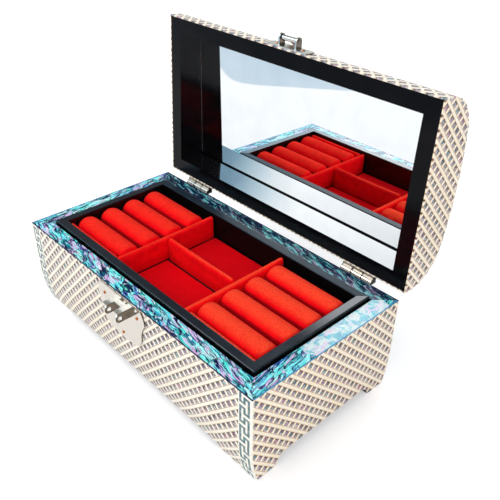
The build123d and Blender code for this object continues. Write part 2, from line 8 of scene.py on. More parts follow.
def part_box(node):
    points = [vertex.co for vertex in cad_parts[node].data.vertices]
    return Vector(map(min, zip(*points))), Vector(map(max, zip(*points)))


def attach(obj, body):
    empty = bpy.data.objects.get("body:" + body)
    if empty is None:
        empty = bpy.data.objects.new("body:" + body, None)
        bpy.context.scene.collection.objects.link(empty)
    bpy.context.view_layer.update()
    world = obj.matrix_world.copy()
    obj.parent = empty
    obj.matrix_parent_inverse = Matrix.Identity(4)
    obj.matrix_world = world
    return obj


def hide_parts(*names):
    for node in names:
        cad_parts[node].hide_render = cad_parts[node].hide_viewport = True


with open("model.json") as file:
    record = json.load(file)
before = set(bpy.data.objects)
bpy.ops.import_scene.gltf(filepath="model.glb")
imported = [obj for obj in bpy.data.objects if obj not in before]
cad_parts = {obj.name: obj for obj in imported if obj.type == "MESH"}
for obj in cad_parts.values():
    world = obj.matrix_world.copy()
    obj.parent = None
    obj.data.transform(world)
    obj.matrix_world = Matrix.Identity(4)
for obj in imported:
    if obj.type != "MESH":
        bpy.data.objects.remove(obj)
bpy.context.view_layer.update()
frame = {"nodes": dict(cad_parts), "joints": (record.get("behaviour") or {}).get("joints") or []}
nodes = frame["nodes"]
scene = bpy.context.scene

MM = 0.001

# The chest's sides and rim, and the hinge about which its lid stands open at rest
HALF_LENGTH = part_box("front_inlay")[1][0]
HALF_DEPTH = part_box("back_inlay")[1][1]
RIM_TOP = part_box("rim_inlay")[1][2]
lid_hinge = next(joint for joint in frame["joints"] if joint["name"] == "lid_hinge")
HINGE = Vector(lid_hinge["pos_m"])
OPEN = radians(lid_hinge["range_deg"][1])

# The Mix node's colour sockets, by number
MIX_FIRST, MIX_SECOND, MIX_RESULT = 6, 7, 2


class Graph:
    """A node tree written as expressions, of a material or of the world. The functions below call it g.
    The scale of a noise is in waves a metre."""

    def __init__(self, name, kind="Material"):
        library = bpy.data.materials if kind == "Material" else bpy.data.worlds
        self.owner = library.new(name)
        self.owner.use_nodes = True
        self.tree = self.owner.node_tree
        self.tree.nodes.clear()
        self.output = self.tree.nodes.new("ShaderNodeOutput" + kind)
        self.places = self.tree.nodes.new("ShaderNodeTexCoord").outputs
        self.coords = self.places["Object"]
        self.normals = self.places["Normal"]

    def put(self, socket, value):
        """Link a socket to another one, or give it a number, a vector or a colour."""
        if isinstance(value, bpy.types.NodeSocket):
            self.tree.links.new(value, socket)
        elif hasattr(socket.default_value, "__len__") and not hasattr(value, "__len__"):
            socket.default_value = [value] * len(socket.default_value)
        elif hasattr(value, "__len__") and len(socket.default_value) == 4 and len(value) == 3:
            socket.default_value = (*value, 1)
        else:
            socket.default_value = value

    def node(self, kind, *inputs, **settings):
        made = self.tree.nodes.new("ShaderNode" + kind)
        for key, value in settings.items():
            setattr(made, key, value)
        for index, value in enumerate(inputs):
            if value is not None:
                self.put(made.inputs[index], value)
        return made

    def math(self, operation, a, b=None, c=None):
        return self.node("Math", a, b, c, operation=operation).outputs[0]

    def absolute(self, value):
        return self.math("ABSOLUTE", value)

    def product(self, first, *others):
        for other in others:
            first = self.math("MULTIPLY", first, other)
        return first

    def within(self, value, low, high):
        """1 where the value lies between two limits, and 0 elsewhere."""
        return self.product(self.math("GREATER_THAN", value, low), self.math("LESS_THAN", value, high))

    def vector(self, operation, a, b=None):
        made = self.node("VectorMath", a, b, operation=operation)
        return made.outputs["Value" if operation == "LENGTH" else "Vector"]

    def split(self, vector):
        return self.node("SeparateXYZ", vector).outputs

    def join(self, x, y, z):
        return self.node("CombineXYZ", x, y, z).outputs[0]

    def mapping(self, vector, location=(0, 0, 0), rotation=(0, 0, 0), scale=(1, 1, 1)):
        return self.node("Mapping", vector, location, rotation, scale).outputs[0]

    def mix(self, factor, first, second, blend="MIX"):
        made = self.node("Mix", factor, data_type="RGBA", blend_type=blend)
        self.put(made.inputs[MIX_FIRST], first)
        self.put(made.inputs[MIX_SECOND], second)
        return made.outputs[MIX_RESULT]

    def stain(self, tone, colour, value, low, high, most=1.0):
        """The tone with up to that share of a colour in it, where the value passes from low to high."""
        return self.mix(self.step(value, low, high, end=most), tone, colour)

    def ramp(self, factor, stops):
        made = self.node("ValToRGB", factor)
        elements = made.color_ramp.elements
        while len(elements) < len(stops):
            elements.new(0.5)
        for element, (place, colour) in zip(elements, stops):
            element.position = place
            element.color = (*colour, 1)
        return made.outputs[0]

    def step(self, value, low, high, start=0.0, end=1.0, smooth=True):
        """From start to end, while the value passes from low to high."""
        made = self.node("MapRange", value, low, high, start, end)
        made.interpolation_type = "SMOOTHSTEP" if smooth else "LINEAR"
        return made.outputs[0]

    def named(self, kind, **inputs):
        """A node whose inputs are told by name, with _ for a space."""
        made = self.tree.nodes.new("ShaderNode" + kind)
        for key, value in inputs.items():
            self.put(made.inputs[key.replace("_", " ")], value)
        return made

    def noise(self, place, scale, detail=2.0, roughness=0.5, distortion=0.0, colour=False):
        made = self.named("TexNoise", Vector=place, Scale=scale, Detail=detail,
                          Roughness=roughness, Distortion=distortion)
        return made.outputs["Color" if colour else "Fac"]

    def voronoi(self, place, scale, feature="F1"):
        made = self.named("TexVoronoi", Vector=place, Scale=scale)
        made.feature = feature
        return made.outputs

    def white(self, cell):
        """Noise that is even within a cell, and differs from one cell to the next."""
        return self.node("TexWhiteNoise", cell).outputs

    def bump(self, height, distance, strength):
        return self.named("Bump", Height=height, Distance=distance, Strength=strength).outputs[0]

    def light_path(self):
        return self.tree.nodes.new("ShaderNodeLightPath").outputs

    def surface(self, **inputs):
        shader = self.named("BsdfPrincipled", **inputs)
        self.tree.links.new(shader.outputs[0], self.output.inputs[0])
        return self.owner


def srgb(red, green, blue):
    """A colour as a picture shows it, 0 to 255, as the linear one that a shader takes."""
    shown = (red / 255, green / 255, blue / 255)
    return tuple(v / 12.92 if v <= 0.04045 else ((v + 0.055) / 1.055) ** 2.4 for v in shown)


def shaded(colour, shares):
    return [channel * share for channel, share in zip(colour, shares)]


def paint(material, *names):
    for name in names:
        data = nodes[name].data
        data.materials.clear()
        data.materials.append(material)


# Lacquer
RECESS_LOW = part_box("lid_back_rail")[1][2] - 3 * MM
RECESS_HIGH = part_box("lid_front_rail")[0][2] + 3 * MM
RECESS_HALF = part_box("lid_right_end")[0][0] + 0.5 * MM
WALL_BLACK = srgb(8, 8, 9)


def lacquer(name, colour, dust, roughness, specular):
    """Black lacquer over wood: a faint cloud, fine dust and a shallow ripple."""
    g = Graph(name)
    grain = g.noise(g.mapping(g.coords, scale=(40, 40, 160)), 6, detail=4, roughness=0.6)
    paler = [channel * 1.5 + 0.0005 for channel in colour]
    base = g.stain(colour, paler, g.noise(g.coords, 45, detail=3), 0.35, 0.7)
    base = g.stain(base, dust, g.noise(g.coords, 2600), 0.70, 0.78, most=0.12)
    rough = g.math("MULTIPLY_ADD", grain, 0.06, roughness)
    ripple = g.bump(g.noise(g.coords, 90), 0.1 * MM, 0.25)
    return g, dict(Base_Color=base, Roughness=rough, Specular_IOR_Level=specular, Normal=ripple)


def recess_lacquer():
    """The lid's lacquer: a plain rim, and polished walls inside the recess."""
    g, finish = lacquer("black_gloss", srgb(8, 8, 11), srgb(50, 50, 56), roughness=0.10, specular=0.09)
    x, _, z = g.split(g.coords)
    faces = g.split(g.normals)
    between = g.math("LESS_THAN", g.absolute(x), RECESS_HALF)
    off_front = g.math("LESS_THAN", g.absolute(faces["Y"]), 0.5)
    wall = g.product(g.within(z, RECESS_LOW, RECESS_HIGH), between, off_front)
    level = g.math("LESS_THAN", g.absolute(faces["X"]), 0.5)
    finish["Coat_Weight"] = g.product(wall, g.math("MULTIPLY_ADD", level, 0.9, 0.1))
    return g.surface(Coat_Roughness=0.02, Coat_IOR=1.62, **finish)


def frame_lacquer(name, colour, specular):
    """The tray frame's lacquer: a satin top whose base colour is a painted reflection, and walls that stay
    black.
    """
    g, finish = lacquer(name, colour, srgb(70, 76, 84), roughness=0.20, specular=specular)
    # Painted reflection: faces that look up take the given bluish grey, and the others stay black
    lit_top = g.step(g.split(g.normals)["Z"], 0.2, 0.8)
    finish["Base_Color"] = g.mix(lit_top, WALL_BLACK, finish["Base_Color"])
    return g.surface(**finish)


def ledge_lacquer():
    """The lacquer of the ledges inside, which shine less."""
    g, finish = lacquer("black_inside", srgb(9, 9, 10), srgb(50, 50, 55), roughness=0.45, specular=0.2)
    return g.surface(**finish)


gloss = recess_lacquer()
# The bluish grey tops are painted reflections of the cool light; the back wall's paler one has its own
# shine turned down
satin = frame_lacquer("black_satin", srgb(18, 26, 35), specular=0.42)
dull_satin = frame_lacquer("black_dull_satin", srgb(30, 42, 52), specular=0.05)
paint(gloss, "front_panel", "back_panel", "left_end_panel", "right_end_panel", "bottom_board",
      "lid_front_rail", "lid_back_rail", "lid_crown", "lid_left_end", "lid_right_end", "mirror_backing")
paint(ledge_lacquer(), "left_tray_ledge", "right_tray_ledge")
paint(satin, "tray_front_wall", "tray_left_wall", "tray_right_wall", "tray_floor")
paint(dull_satin, "tray_back_wall")


# Shell lattice: square cells at 45 degrees to the face, each with a chip of shell in its middle
PITCH = 6.46 * MM

# How far from a chip's middle the strips begin, in pitches, and the softness of that edge
LONG_EDGE, SHORT_EDGE = 0.312, 0.330
EDGE_SOFTNESS = 0.014

# The lid's section, drawn shut, in Y and Z: a gentle crown between two round shoulders
LID_TOP = 113 * MM
CROWN_RADIUS = 243 * MM
SHOULDER_RADIUS = 30 * MM
CROWN_Z = LID_TOP - CROWN_RADIUS
SHOULDER_Y = HALF_DEPTH - SHOULDER_RADIUS
CROWN_TURN = asin(SHOULDER_Y / (CROWN_RADIUS - SHOULDER_RADIUS))
SHOULDER_Z = CROWN_Z + (CROWN_RADIUS - SHOULDER_RADIUS) * cos(CROWN_TURN)
CROWN_RUN = CROWN_RADIUS * CROWN_TURN
CURVE_RUN = CROWN_RUN + SHOULDER_RADIUS * (pi / 2 - CROWN_TURN)

SHELL = [
    (0.00, srgb(104, 100, 110)), (0.10, srgb(168, 154, 164)), (0.20, srgb(98, 126, 136)),
    (0.30, srgb(192, 140, 162)), (0.40, srgb(124, 120, 136)), (0.50, srgb(196, 184, 182)),
    (0.60, srgb(84, 72, 84)), (0.70, srgb(104, 158, 164)), (0.80, srgb(148, 120, 114)),
    (0.90, srgb(160, 134, 164)), (1.00, srgb(76, 92, 116)),
]
ROSE = srgb(206, 158, 178)
SEA_GREEN = srgb(130, 180, 184)
PEARL = srgb(230, 222, 224)
DARK_VEIN = srgb(40, 38, 52)
CHIP_SHADE = srgb(32, 30, 40)
CHIP_LIGHT = srgb(222, 214, 214)
CREAM = srgb(255, 247, 230)
WHITE_CREAM = srgb(253, 248, 237)
PALE_IVORY = srgb(255, 252, 246)
AGED = (0.93, 0.86, 0.74)
GRAINED = (0.84, 0.74, 0.58)
TAN = srgb(204, 150, 92)
PALE_TAN = srgb(184, 158, 120)
NAVY = srgb(24, 34, 72)
BLUE = srgb(58, 140, 180)
TEAL = srgb(22, 116, 120)

# Numbers that keep the random tones of chips, strips and key cells apart
CHIP_SEED = 0.37
SHORT_SEED = 2.0
LONG_SEED, LONG_ROW_SEED = 7.0, 5.0
KEY_SEED = 9.0
CHIP_SCATTER = (37.0, 91.0, 17.0)


class Strips:
    """One family of parallel strips. The value counts pitches across them."""

    def __init__(self, g, value, phase, edge):
        moved = g.math("SUBTRACT", value, phase - 0.5)
        self.edge = edge
        self.cell = g.math("FLOOR", moved)
        self.off_middle = g.math("SUBTRACT", g.math("SUBTRACT", moved, self.cell), 0.5)
        self.near = g.absolute(self.off_middle)
        self.strip = g.math("FLOOR", g.math("SUBTRACT", value, phase))
        self.cover = g.step(self.near, edge - EDGE_SOFTNESS, edge + EDGE_SOFTNESS)


def shell(g, cell, place):
    """The colour of a chip of shell: one tone a chip, with paler clouds and dark veins in it."""
    pick = g.white(cell)
    spot = g.vector("ADD", place, g.vector("MULTIPLY", pick["Color"], CHIP_SCATTER))
    tint = g.split(g.noise(spot, 300, detail=1, colour=True))
    grain = g.mapping(spot, rotation=(0.5, 0.9, 0.7), scale=(1, 3.5, 1))
    vein = g.noise(grain, 420, detail=3, roughness=0.6, distortion=0.8)
    tone = g.ramp(pick["Value"], SHELL)
    tone = g.stain(tone, ROSE, tint["X"], 0.52, 0.66, most=0.5)
    tone = g.stain(tone, SEA_GREEN, tint["Y"], 0.54, 0.68, most=0.5)
    tone = g.stain(tone, PEARL, g.noise(spot, 520), 0.50, 0.62, most=0.80)
    return g.stain(tone, DARK_VEIN, vein, 0.47, 0.60, most=0.90)


def shut_place(g):
    """Where a place on the open lid lies once the lid is shut."""
    offset = HINGE - Matrix.Rotation(OPEN, 3, "X") @ HINGE
    return g.mapping(g.coords, location=offset, rotation=(OPEN, 0, 0))


def over_the_lid(g, y, z):
    """Distance from the crown's middle, measured over the lid's curve and down its upright sides."""
    out = g.absolute(y)
    crown = g.product(g.math("ARCTAN2", out, g.math("SUBTRACT", z, CROWN_Z)), CROWN_RADIUS)
    turn = g.math("ARCTAN2", g.math("SUBTRACT", z, SHOULDER_Z), g.math("SUBTRACT", out, SHOULDER_Y))
    shoulder = g.math("MULTIPLY_ADD", turn, -SHOULDER_RADIUS, CURVE_RUN)
    curve = g.math("MAXIMUM", g.math("MINIMUM", crown, CROWN_RUN), shoulder)
    side = g.math("SUBTRACT", CURVE_RUN + SHOULDER_Z, z)
    low = g.math("LESS_THAN", z, SHOULDER_Z)
    arc = g.math("ADD", g.product(low, side), g.product(g.math("SUBTRACT", 1.0, low), curve))
    return g.product(arc, g.math("SIGN", y))


def shell_chip(g, cell, place, lean):
    """A chip of shell: one side lies in the shade of the strip, and the far side catches light."""
    chip = shell(g, cell, place)
    chip = g.stain(chip, CHIP_SHADE, lean, 0.06, 0.26, most=0.85)
    return g.stain(chip, CHIP_LIGHT, lean, -0.08, -0.25, most=0.50)


def bone(g, piece, place, grain, ivory):
    """Ivory: one tone a piece, with a fine grain and pale clouds."""
    vary = g.step(g.white(piece)["Value"], 0, 1, end=0.5, smooth=False)
    tone = g.mix(vary, ivory, shaded(ivory, AGED))
    tone = g.stain(tone, shaded(ivory, GRAINED), grain, 0.45, 0.75, most=0.25)
    return g.stain(tone, PALE_IVORY, g.noise(place, 210), 0.56, 0.70, most=0.5)


def seams(g, long, short):
    """1 on the dark lines down both sides of the strips. Those of the long strips run unbroken."""
    beside = g.absolute(g.math("SUBTRACT", long.near, long.edge))
    across = g.math("ADD", g.absolute(g.math("SUBTRACT", short.near, short.edge)), long.cover)
    return g.step(g.math("MINIMUM", beside, across), 0.010, 0.052, 1, 0)


# The key pattern beside the chest's right corner, its last column nearest to the corner. In each
# three columns or rows the first is a line, and the other two are alike and are drawn as one gap
KEY = (
    "......#",
    "......#",
    "####..#",
    "#..#..#",
    "#..#..#",
    "#..####",
    "#......",
    "#......",
    "#..####",
    "#..#..#",
    "#..#..#",
    "####..#",
)

# What three columns or three rows take up, and the share of it that the line has
THREE_COLUMNS, COLUMN_LINE = 3.6 * MM, 0.53
THREE_ROWS, ROW_LINE = 4.1 * MM, 0.47
KEY_FROM = HALF_LENGTH - 11.0 * MM
KEY_WIDTH = (2 + COLUMN_LINE) * THREE_COLUMNS
KEY_BORDER = 0.9 * MM


def key_column(index):
    """One column of the key pattern as a number: the lowest row is its first bit."""
    return sum(2**row for row, line in enumerate(reversed(KEY)) if line[index] == "#")


def key_cell(g, threes, line):
    """The row or column of the key pattern at a place that lies that many threes along it."""
    gap = g.math("GREATER_THAN", g.math("FRACT", threes), line)
    return g.math("MULTIPLY_ADD", g.math("FLOOR", threes), 3.0, gap)


def meander(g, x, z, place, colour, ivory):
    """The key pattern down both ends of the long faces, beside an ivory border."""
    out = g.math("SUBTRACT", g.absolute(x), KEY_FROM)
    rise = g.math("DIVIDE", z, THREE_ROWS)
    column = key_cell(g, g.math("DIVIDE", out, THREE_COLUMNS), COLUMN_LINE)
    row = g.math("FLOORED_MODULO", key_cell(g, rise, ROW_LINE), float(len(KEY)))
    bits = 0.0
    for index in range(len(KEY[0])):
        here = g.math("COMPARE", column, float(index), 0.2)
        bits = g.math("MULTIPLY_ADD", here, float(key_column(index)), bits)
    shifted = g.math("DIVIDE", g.math("ADD", bits, 0.5), g.math("POWER", 2.0, row))
    inlaid = g.math("FLOORED_MODULO", g.math("FLOOR", shifted), 2.0)
    chip = g.mix(0.66, shell(g, g.join(column, g.math("FLOOR", rise), KEY_SEED), place), TEAL)
    colour = g.mix(g.math("GREATER_THAN", out, -KEY_BORDER), colour, ivory)
    return g.mix(g.within(out, 0.0, KEY_WIDTH), colour, g.mix(inlaid, ivory, chip))


def strip_families(g, across, along, phases, falling_long):
    """The strips that fall to the right, and those that rise, from places on a face."""
    edges = (LONG_EDGE, SHORT_EDGE) if falling_long else (SHORT_EDGE, LONG_EDGE)
    values = [g.product(g.math(way, across, along), sqrt(0.5) / PITCH) for way in ("ADD", "SUBTRACT")]
    return [Strips(g, value, phase, edge) for value, phase, edge in zip(values, phases, edges)]


def strip_piece(g, falling, rising, falling_long):
    """The piece of ivory at a place, as a cell. Long strips run unbroken past the short ones."""
    if falling_long:
        short_piece = g.join(falling.cell, rising.strip, SHORT_SEED)
        long_piece = g.join(falling.strip, LONG_ROW_SEED, LONG_SEED)
        return g.mix(falling.cover, short_piece, long_piece)
    short_piece = g.join(falling.strip, rising.cell, SHORT_SEED)
    long_piece = g.join(LONG_ROW_SEED, rising.strip, LONG_SEED)
    return g.mix(rising.cover, short_piece, long_piece)


def lattice(name, sides, phases, ivory, seam, edge=None, falling_long=False, key=False, on_lid=False,
            wrap=False):
    """Ivory strips with chips of shell between them. Sides are the axes along the face's width and
    height, phases place the chips, and the edge is the colour of the sheet's upper edge."""
    g = Graph(name)
    place = shut_place(g) if on_lid else g.coords
    axes = dict(zip("xyz", g.split(place)))
    across, along = (axes[side] for side in sides)
    if wrap:
        along = over_the_lid(g, axes["y"], axes["z"])
    falling, rising = strip_families(g, across, along, phases, falling_long)
    long, short = (falling, rising) if falling_long else (rising, falling)
    lean = g.product(long.off_middle, 1.0 if falling_long else -1.0)
    chip = shell_chip(g, g.join(falling.cell, rising.cell, CHIP_SEED), place, lean)
    grain = g.noise(place, 900, detail=3, roughness=0.6)
    ivory_piece = bone(g, strip_piece(g, falling, rising, falling_long), place, grain, ivory)
    strip = g.math("MAXIMUM", falling.cover, rising.cover)
    joint = seams(g, long, short)
    colour = g.mix(strip, chip, ivory_piece)
    colour = g.mix(g.product(joint, g.step(grain, 0.3, 0.6, 0.6, 1.0)), colour, seam)
    if key:
        colour = meander(g, axes["x"], axes["z"], place, colour, ivory)
    if edge:
        top = g.math("GREATER_THAN", axes["z"], RIM_TOP - 0.4 * MM)
        colour = g.mix(g.product(g.step(g.split(g.normals)["Z"], 0.6, 0.9), top), colour, edge)
    rough = g.math("MULTIPLY_ADD", strip, 0.16, 0.24)
    height = g.math("SUBTRACT", g.product(strip, 0.5), g.product(joint, 0.8))
    return g.surface(Base_Color=colour, Roughness=rough, Specular_IOR_Level=0.35,
                     Normal=g.bump(height, 0.06 * MM, 0.6))


end_face = lattice("inlay_end", "yz", (0.42, 0.206), CREAM, TAN, edge=BLUE, falling_long=True)
front_face = lattice("inlay_front", "xz", (0.17, 0.91), WHITE_CREAM, PALE_TAN, edge=NAVY, key=True)
lid_wrap = lattice("inlay_lid", "xz", (0.17, 0.91), WHITE_CREAM, PALE_TAN, on_lid=True, wrap=True)
lid_end = lattice("inlay_lid_end", "yz", (0.59, 0.77), CREAM, TAN, on_lid=True)
paint(front_face, "front_inlay", "back_inlay")
paint(end_face, "left_end_inlay", "right_end_inlay")
paint(lid_wrap, "lid_inlay")
paint(lid_end, "lid_left_inlay", "lid_right_inlay")


# Abalone rim
ABALONE = [
    (0.00, srgb(60, 190, 216)), (0.09, srgb(150, 230, 236)), (0.18, srgb(30, 110, 184)),
    (0.27, srgb(220, 196, 230)), (0.36, srgb(24, 74, 140)), (0.45, srgb(96, 222, 208)),
    (0.54, srgb(60, 150, 200)), (0.63, srgb(90, 214, 206)), (0.72, srgb(8, 34, 92)),
    (0.81, srgb(40, 176, 196)), (0.90, srgb(204, 240, 238)), (1.00, srgb(24, 116, 160)),
]
PALE_AQUA = srgb(150, 240, 244)
DEEP_BLUE = srgb(4, 22, 88)
GREEN = srgb(64, 206, 184)
LILAC = srgb(220, 190, 228)
GLINT = srgb(226, 246, 246)
CRACK = srgb(6, 12, 50)
SHEET_BLUE = srgb(150, 200, 216)
SHEET_WHITE = srgb(222, 234, 238)
SHEET_LILAC = srgb(224, 206, 232)
BACK_NAVY = srgb(4, 20, 54)

# Slips: how many lie side by side in a metre, how far they are drawn out, and how they slant
SLIPS = 250
DRAWN_OUT = 0.34
SLANT = 0.22
SLIP_SCATTER = (13.0, 7.0, 5.0)
PINK_OFFSET = (3.0, 1.0, 2.0)
GLINT_OFFSET = (7.0, 5.0, 1.0)

# The broad pale sheet on the rim's right end, from front to back
SHEET_FROM, SHEET_TO = -16 * MM, 58 * MM
SHEET_BEYOND = HALF_LENGTH - 14 * MM


def slip_colours(g, slips, edge, streak, pink, spot):
    """The colours of the slips: one tone a slip, with streaks, clouds, glints and cracks."""
    green = g.noise(spot, 300, distortion=0.7)
    glint = g.noise(g.vector("ADD", spot, GLINT_OFFSET), 620, distortion=0.5)
    tone = g.ramp(g.split(slips["Color"])["X"], ABALONE)
    tone = g.stain(tone, PALE_AQUA, streak, 0.54, 0.58, most=0.9)
    tone = g.stain(tone, DEEP_BLUE, streak, 0.47, 0.42, most=0.95)
    tone = g.stain(tone, GREEN, green, 0.59, 0.67, most=0.6)
    tone = g.stain(tone, LILAC, pink, 0.56, 0.64, most=0.8)
    tone = g.stain(tone, GLINT, glint, 0.60, 0.66, most=0.75)
    crack = g.product(g.step(edge, 0.015, 0.075, 1, 0), g.step(streak, 0.42, 0.58, 0.95, 0.2))
    return g.mix(crack, tone, CRACK)


def sheet_colours(g, pink, wander):
    """The colours of the broad sheet: pale clouds."""
    cloud = g.noise(g.vector("ADD", g.coords, wander), 150, detail=3, roughness=0.55, distortion=0.8)
    pale = g.stain(SHEET_BLUE, SHEET_WHITE, cloud, 0.42, 0.56)
    return g.stain(pale, SHEET_LILAC, pink, 0.52, 0.66, most=0.7)


def rim_places(g, x, y):
    """1 on the rim's ends and 1 on its long sides, which meet at mitres, and places along and across."""
    off_mitre = g.math("SUBTRACT", g.absolute(x), g.absolute(y))
    ends = g.math("GREATER_THAN", off_mitre, HALF_LENGTH - HALF_DEPTH)
    long = g.math("SUBTRACT", 1.0, ends)
    along = g.math("ADD", g.product(ends, y), g.product(long, x))
    across = g.math("ADD", g.product(ends, x), g.product(long, y))
    return ends, long, along, across


def abalone():
    """Slips of shell laid along the rim, and one broad pale sheet on the right."""
    g = Graph("abalone")
    x, y, _ = g.split(g.coords)
    ends, long, along, across = rim_places(g, x, y)
    wander = g.noise(g.coords, 80, detail=3, roughness=0.55, colour=True)
    wander = g.vector("MULTIPLY", g.vector("SUBTRACT", wander, 0.5), (5 * MM, 6 * MM, 0.0))
    slant = g.math("MULTIPLY_ADD", along, SLANT, across)
    flat = g.vector("ADD", g.join(g.product(along, DRAWN_OUT), slant, ends), wander)
    slips = g.voronoi(flat, SLIPS)
    edge = g.voronoi(flat, SLIPS, "DISTANCE_TO_EDGE")["Distance"]
    spot = g.vector("ADD", flat, g.vector("MULTIPLY", slips["Color"], SLIP_SCATTER))
    fibres = g.mapping(spot, rotation=(0, 0, 0.3), scale=(1, 2.4, 1))
    streak = g.noise(fibres, 190, roughness=0.6, distortion=0.9)
    pink = g.noise(g.vector("ADD", spot, PINK_OFFSET), 210, distortion=0.7)

    torn = g.math("MULTIPLY_ADD", g.split(wander)["Y"], 2.5, y)
    sheet = g.product(g.math("GREATER_THAN", x, SHEET_BEYOND), g.within(torn, SHEET_FROM, SHEET_TO))
    tone = slip_colours(g, slips, edge, streak, pink, spot)
    tone = g.mix(g.product(sheet, 0.85), tone, sheet_colours(g, pink, wander))
    tone = g.mix(0.5, tone, tone, "OVERLAY")

    # The back rail is darker: navy is laid over much of it, most where the streak noise is low
    back = g.product(long, g.math("GREATER_THAN", y, 0.0))
    tone = g.mix(g.product(back, g.step(streak, 0.60, 0.51, 0.45, 0.93)), tone, BACK_NAVY)
    rough = g.step(streak, 0.3, 0.7, 0.16, 0.32)
    return g.surface(Base_Color=tone, Roughness=rough, Specular_IOR_Level=0.22,
                     Normal=g.bump(g.noise(spot, 300), 0.08 * MM, 0.4))


paint(abalone(), "rim_inlay")


# Mirror and metal
GROUND_EDGE, GROUND_SOFTNESS = 0.8 * MM, 0.2 * MM
# The band of painted shade along the mirror's lower edge: its height and softness
SEAM, SEAM_SOFTNESS = 1.3 * MM, 0.3 * MM
# How far from where hinge knuckles meet the painted shade fades out, and where it is full
KNUCKLE_LINE = (0.55 * MM, 0.30 * MM)
SILVER = srgb(243, 246, 247)
HAZY_SILVER = srgb(236, 240, 242)
SEAM_SHADE = srgb(16, 17, 19)
# Painted shade for the metal's sides that face along X
SIDE_SHADE = srgb(60, 50, 38)
PALE_SIDE_SHADE = srgb(104, 92, 74)
# Painted shade where hinge knuckles meet
KNUCKLE_SHADE = srgb(26, 22, 18)
PIN_LOW, PIN_HIGH = (corner[0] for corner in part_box("right_hinge_pin"))
HINGE_X = (PIN_LOW + PIN_HIGH) / 2
HINGE_LENGTH = PIN_HIGH - PIN_LOW


def mirror_glass():
    """Silvered glass: its upright edges are ground, and its lower edge has a band of painted shade, where
    it sits in a seam.
    """
    g = Graph("mirror_glass")
    x, _, z = g.split(g.coords)
    low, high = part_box("lid_mirror")
    clear_half = high[0] - GROUND_EDGE
    ground = g.step(g.absolute(x), clear_half, clear_half + GROUND_SOFTNESS, end=0.5)
    seam_top = low[2] + SEAM
    haze = g.noise(g.coords, 60, detail=3)
    tint = g.stain(SILVER, HAZY_SILVER, haze, 0.3, 0.8)
    # Painted shade: a dark band along the lower edge, where the glass sits in its seam
    tint = g.stain(tint, SEAM_SHADE, z, seam_top, seam_top - SEAM_SOFTNESS)
    rough = g.math("MAXIMUM", g.step(haze, 0.45, 0.9, end=0.012), ground)
    return g.surface(Base_Color=tint, Metallic=1.0, Roughness=rough)


def off_knuckle_line(g):
    """How far a place lies from where two knuckles of a hinge meet, or from the hinge's end."""
    off_centre = g.absolute(g.math("SUBTRACT", g.absolute(g.split(g.coords)["X"]), HINGE_X))
    joint = g.absolute(g.math("SUBTRACT", off_centre, HINGE_LENGTH / 6))
    end = g.absolute(g.math("SUBTRACT", off_centre, HINGE_LENGTH / 2))
    return g.math("MINIMUM", joint, end)


def metal(name, colour, worn_colour, roughness, brushed=1, worn=0.25, sides=0.0, hinge=False):
    """Plated metal: polished, with a faint cloud and fine brush marks, and painted shade in brown on its
    narrow sides.
    """
    g = Graph(name)
    faces = g.split(g.normals)
    wear = g.noise(g.coords, 300, detail=4, roughness=0.6)
    brush = g.noise(g.mapping(g.coords, scale=(1, 1, brushed)), 900, detail=3, roughness=0.6)
    tone = g.stain(colour, worn_colour, wear, 0.58, 0.80, most=worn)
    # Painted shade: the sides that face along X turn brown
    side_shade = g.stain(SIDE_SHADE, PALE_SIDE_SHADE, wear, 0.35, 0.65)
    tone = g.stain(tone, side_shade, g.absolute(faces["X"]), 0.35, 0.65, most=sides)
    if hinge:
        # Painted shade: dark rings where the knuckles of a hinge meet, and at its ends
        tone = g.stain(tone, KNUCKLE_SHADE, off_knuckle_line(g), *KNUCKLE_LINE)

    # What faces up is rougher, so that the cool rear lamp doesn't stand in it as a bright patch
    flat = g.step(faces["Z"], 0.6, 0.9, roughness, roughness + 0.28)
    rough = g.math("MULTIPLY_ADD", brush, 0.06, flat)
    return g.surface(Base_Color=tone, Metallic=1.0, Roughness=rough, Normal=g.bump(wear, 0.02 * MM, 0.3))


nickel = metal("nickel", srgb(226, 220, 211), srgb(170, 160, 146), 0.07, brushed=9, sides=0.85)
hinge_nickel = metal("hinge_nickel", srgb(206, 200, 190), srgb(140, 130, 116), 0.12, brushed=9,
                     sides=0.9, hinge=True)
nails = metal("brass_nails", srgb(196, 112, 44), srgb(70, 38, 18), 0.20, worn=0.95)
paint(mirror_glass(), "lid_mirror")
paint(nickel, "lock_plate", "lock_lugs", "catch_bracket", "catch_pin", "catch_flap")
paint(hinge_nickel, "left_hinge_body_leaf", "right_hinge_body_leaf", "left_hinge_pin",
      "right_hinge_pin", "left_hinge_lid_leaf", "right_hinge_lid_leaf")
paint(nails, "lock_nails", "body_hinge_nails", "lid_hinge_nails", "bracket_nails")


# Velvet
CRIMSON = srgb(236, 2, 18)
SCARLET = srgb(250, 8, 20)
# A painted highlight for the crests, and painted shade for the wells and the grooves
CREST_HIGHLIGHT = srgb(255, 88, 52)
WELL_SHADE = srgb(206, 0, 16)
GROOVE_SHADE = srgb(112, 0, 8)
PILE_RED = srgb(176, 0, 12)
SHEEN = srgb(255, 110, 80)

# Heights between which the painted crest highlight, the painted shade in the wells and that in the grooves
# come in, where the rolls and their beds begin, and the half-width over which the crest highlight grows
# towards the right
CREST = (62 * MM, 74 * MM)
WELL = (64 * MM, 58 * MM)
GROOVE = (71.2 * MM, 69.4 * MM)
ROLLS_BEYOND = 41 * MM
HIGHLIGHT_SPREAD_HALF = 50 * MM


